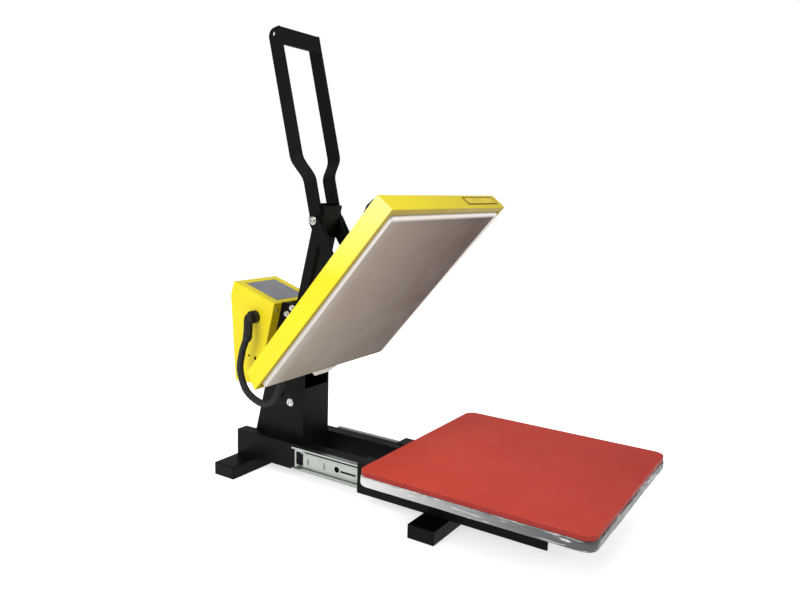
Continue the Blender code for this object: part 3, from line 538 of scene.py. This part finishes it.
def make_slides():
    for name, s in (("left", -1), ("right", 1)):
        def across(outline):
            return [(s * x, z) for x, z in outline]

        y = (-0.0775, 0.2225)
        window = rounded((0.2010, 0.2190), (0.0390, 0.0640), 0.002, 3)
        behind = rounded((0.0750, 0.1300), (0.0410, 0.0625), 0.002, 3)
        holes = [window, behind, *[circle((u, 0.053), 0.0024, 14) for u in (-0.05, 0.02, 0.16)]]
        web = side_plate((s * 0.0640, s * 0.0652), rectangle(y, (0.0307, 0.0753)), *holes)
        curl = [
            (0.0640, 0.0743), (0.0640, 0.0753), (0.0742, 0.0753), (0.0748, 0.0748), (0.0749, 0.0722),
            (0.0743, 0.0714), (0.0738, 0.0718), (0.0738, 0.0738), (0.0733, 0.0743),
        ]
        low = [(x, 0.106 - z) for x, z in curl]
        parts = [web, section(y, across(curl)), section(y, across(low))]
        node = f"slide_outer_{name}"
        show(f"{node}_detail", pieces_joined(*parts), ZINC, "root", (node,))

        y = (-0.1005, 0.1995)
        holes = [
            rectangle((0.1868, 0.1892), (0.0445, 0.0560)), rectangle((0.1485, 0.1505), (0.0445, 0.0580)),
            circle((0.1205, 0.0519), 0.0056), rounded((0.078, 0.1125), (0.0485, 0.0520), 0.0015, 3),
        ]
        web = side_plate((s * 0.0666, s * 0.0680), rectangle(y, (0.0400, 0.0636)), *holes)
        groove = [
            (0.0666, 0.0630), (0.0680, 0.0630), (0.0684, 0.0650), (0.0700, 0.0662), (0.0738, 0.0662),
            (0.0744, 0.0668), (0.0744, 0.0690), (0.0734, 0.0692), (0.0732, 0.0676), (0.0696, 0.0676),
            (0.0674, 0.0662),
        ]
        low = [(x, 0.1036 - z) for x, z in groove]
        parts = [web, section(y, across(groove)), section(y, across(low))]
        node = f"slide_middle_{name}"
        show(f"{node}_detail", pieces_joined(*parts), ZINC, "middle_slides", (node,))

        strips = [rectangle((0.0690, 0.0698), (low_z, low_z + 0.0052)) for low_z in (0.0690, 0.0318)]
        cages = [section((-0.095, 0.185), across(strip)) for strip in strips]
        show(f"slide_cage_{name}", pieces_joined(*cages), CAGE, "middle_slides")
        bm = bmesh.new()
        for z in (0.0716, 0.0344):
            for i in range(30):
                ball = Matrix.Translation((s * 0.0715, -0.088 + 0.0092 * i, z))
                bmesh.ops.create_uvsphere(bm, u_segments=10, v_segments=6, radius=0.0016, matrix=ball)
        show(f"slide_balls_{name}", mesh_of(bm), STEEL, "middle_slides")


CONDUIT_POINTS = [
    (-0.085, 0.3252, 0.2725), (-0.086, 0.3316, 0.2578), (-0.088, 0.3366, 0.2389), (-0.094, 0.3353, 0.2069),
    (-0.101, 0.3115, 0.1724), (-0.1035, 0.2713, 0.1567), (-0.101, 0.2440, 0.1665), (-0.096, 0.2355, 0.1850),
    (-0.089, 0.2372, 0.2020), (-0.085, 0.2384, 0.2125), (-0.085, 0.2296, 0.2179),
]


def make_conduit():
    """Corrugated conduit, running from the box at its start to the arm's gland at its end."""
    route = smooth_route(CONDUIT_POINTS, 26)

    def ribs(travelled):
        return 0.00655 + 0.00040 * cos(2 * pi * travelled / 0.0046)

    tube = show("conduit_ribbed", sweep(route, ribs), PLASTIC, replaces=("conduit",))
    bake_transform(tube)
    places = ((-0.085, 0.3248, 0.2750), (-0.0851, 0.3255, 0.2710), (-0.0853, 0.3274, 0.2660))
    collar = [Vector(place) for place in places]
    show("boot_collar", sweep(collar, lambda d: 0.0092 - 0.16 * d), PLASTIC, "root")


def make_label():
    """Blank plate at the right end of the cover's front face."""
    for name, x, z, deep, mat in (
        ("label_edge", (0.060, 0.174), (-0.0250, -0.0055), (0.0, 0.0005), LABEL_EDGE),
        ("label_face", (0.0630, 0.171), (-0.0225, -0.0080), (0.0004, 0.0008), LABEL_FACE),
    ):
        mesh = section((-deep[1], -deep[0]), rectangle(x, z))
        lean = Matrix.Translation((0, -0.5113, 0)) @ Matrix.Rotation(radians(-2.2), 4, "X")
        show(name, placed(mesh, ARM @ lean), mat, "arm")


def make_film():
    """The film's skin over the lower platen, folded inward along its sides."""
    outline = rounded((-0.1919, 0.1919), (-0.3939, -0.0101), 0.020, 8)
    ring = []
    for i, point in enumerate(outline):
        here, after = Vector(point), Vector(outline[(i + 1) % len(outline)])
        steps = max(1, int((after - here).length / 0.004))
        ring += [here.lerp(after, k / steps) for k in range(steps)]
    centre = Vector((0.0, -0.202))
    bm = bmesh.new()
    loops = []
    rows = 9
    for j in range(rows + 1):
        up = j / rows
        z = 0.0996 + 0.0155 * up
        loop = []
        for i, p in enumerate(ring):
            fold = 0.5 + 0.5 * noise.noise(Vector((p.x * 11, p.y * 11, z * 110)))
            crease = abs(noise.noise(Vector((p.x * 22, p.y * 22, z * 130 + 3))))
            edge = 0.0016 * (abs(2 * up - 1) ** 6)
            shrink = 0.0012 * fold + 0.0010 * crease + edge
            inward = centre - p
            limit = Vector([copysign(max(abs(reach) - 0.17, 0), reach) for reach in inward])
            q = p + limit.normalized() * shrink
            loop.append(bm.verts.new((q.x, q.y, z)))
        loops.append(loop)
    for a, b in zip(loops, loops[1:]):
        for i in range(len(a)):
            j = (i + 1) % len(a)
            bm.faces.new((a[i], a[j], b[j], b[i]))
    bm.faces.new(loops[0])
    bm.faces.new(loops[-1])
    show("platen_film", mesh_of(bm), FILM, "drawer", ("lower_platen",))


def bead(start, end, radius, body, name):
    """Painted-over weld bead with ripples."""
    start, end = Vector(start), Vector(end)
    count = int((end - start).length / 0.0007)
    route = [start.lerp(end, i / count) for i in range(count + 1)]
    mesh = sweep(route, lambda d: radius * (0.85 + 0.15 * cos(2 * pi * d / 0.0035)), 8)
    show(name, mesh, BLACK, body)


def make_beads():
    for name, s in (("left", -1), ("right", 1)):
        bead((s * 0.0387, 0.2265, 0.0752), (s * 0.0387, 0.3225, 0.0752), 0.0016, "root", f"tower_bead_{name}")
        for foot, front, rear in (("front", -0.117, -0.069), ("rear", 0.325, 0.373)):
            ends = ((s * 0.0637, front, 0.0250), (s * 0.0637, rear, 0.0250))
            bead(*ends, 0.0013, "root", f"{foot}_foot_bead_{name}")


def make_box_screws():
    """Cross-head screws of the control box, on its front and rear faces."""
    def screw(name, place):
        def cross(turn):
            return 0.0006 + 0.0011 * max(0.0, cos(4 * turn)) ** 3
        rings = [
            (-0.0022, 0.0014), (0.0, 0.0014), (0.0, 0.0031), (0.0007, 0.0030), (0.0014, 0.0022),
            (0.0016, cross), (0.0009, cross),
        ]
        show(name, placed(lathe(rings, 32), place), STEEL, "root")

    for name, s in (("left", -1), ("right", 1)):
        for row, z in (("upper", 0.3250), ("lower", 0.1900)):
            face = 0.2798 + 0.2554 * (0.339 - z) + 0.0005
            out = Matrix.Translation((s * 0.0490, face, z)) @ Matrix.Rotation(radians(-90), 4, "Z")
            screw(f"box_screw_{row}_{name}", out)
        climb = Vector((0.0, 0.3945 - 0.383, 0.3435 - 0.1735)).normalized()
        for row, up in (("upper", 0.145), ("lower", 0.008)):
            spot = Vector((s * 0.0490, 0.383, 0.1735)) + up * climb
            screw(f"rear_screw_{row}_{name}", Matrix.Translation(spot) @ Matrix.Rotation(radians(90), 4, "Z"))


make_bolts()
make_slides()
make_box_screws()
make_conduit()
make_label()
make_film()
make_beads()


# Stage

def make_stage():
    floor = bpy.data.objects.new("floor", bpy.data.meshes.new("floor"))
    bm = bmesh.new()
    bmesh.ops.create_grid(bm, x_segments=1, y_segments=1, size=60.0)
    bm.to_mesh(floor.data)
    bm.free()
    s = Shader("pale_floor", (0.80, 0.80, 0.80), 0.9, Specular_IOR_Level=0.0)
    s.colour(s.mix(s.ramp(s.noise(3.0, 3.0), 0.3, 0.7), (0.80, 0.80, 0.80), (0.79, 0.79, 0.79)))
    s.out.inputs["Emission Color"].default_value = (1.0, 1.0, 1.0, 1.0)
    s.out.inputs["Emission Strength"].default_value = 0.66
    floor.data.materials.append(s.mat)
    floor.location.z = -0.0002
    bpy.context.scene.collection.objects.link(floor)

    world = bpy.data.worlds.new("studio")
    bpy.context.scene.world = world
    world.use_nodes = True
    tree = world.node_tree
    background = tree.nodes["Background"]
    sky = tree.nodes.new("ShaderNodeMix")
    sky.data_type = "RGBA"
    seen = tree.nodes.new("ShaderNodeLightPath")
    tree.links.new(seen.outputs["Is Camera Ray"], sky.inputs["Factor"])
    sky.inputs[6].default_value = (0.46, 0.46, 0.47, 1.0)
    sky.inputs[7].default_value = (1.0, 1.0, 1.0, 1.0)
    tree.links.new(sky.outputs[2], background.inputs["Color"])
    background.inputs["Strength"].default_value = 1.0

    centre = Vector((0.0, 0.0, 0.35))
    for name, place, size, power, colour in (
        ("key", (-2.4, 0.2, 2.0), 1.5, 52.0, (1.0, 0.99, 0.97)),
        ("front", (0.2, -2.8, 1.6), 2.2, 16.0, (1.0, 1.0, 1.0)),
        ("top", (0.0, -0.6, 3.0), 1.8, 34.0, (1.0, 1.0, 1.0)),
    ):
        light = bpy.data.objects.new(name, bpy.data.lights.new(name, "AREA"))
        light.data.size = size
        light.data.energy = power
        light.data.color = colour
        light.location = place
        light.rotation_euler = (centre - light.location).to_track_quat("-Z", "Y").to_euler()
        bpy.context.scene.collection.objects.link(light)


def make_camera():
    azimuth, pitch, roll = radians(-57.435), radians(9.0017), radians(1.7332)
    back = Vector((sin(azimuth) * cos(pitch), -cos(azimuth) * cos(pitch), sin(pitch)))
    right = Vector((0, 0, 1)).cross(back).normalized()
    up = back.cross(right)
    right, up = cos(roll) * right + sin(roll) * up, -sin(roll) * right + cos(roll) * up
    data = bpy.data.cameras.new("camera")
    data.sensor_width = 36.0
    data.lens = 36.0 * 732.136 / 800.0
    camera = bpy.data.objects.new("camera", data)
    turn = Matrix((right, up, back)).transposed().to_4x4()
    camera.matrix_world = Matrix.Translation((-1.07616, -0.64859, 0.56743)) @ turn
    bpy.context.scene.collection.objects.link(camera)
    bpy.context.scene.camera = camera


make_stage()
make_camera()
bpy.context.scene.view_settings.view_transform = "Standard"
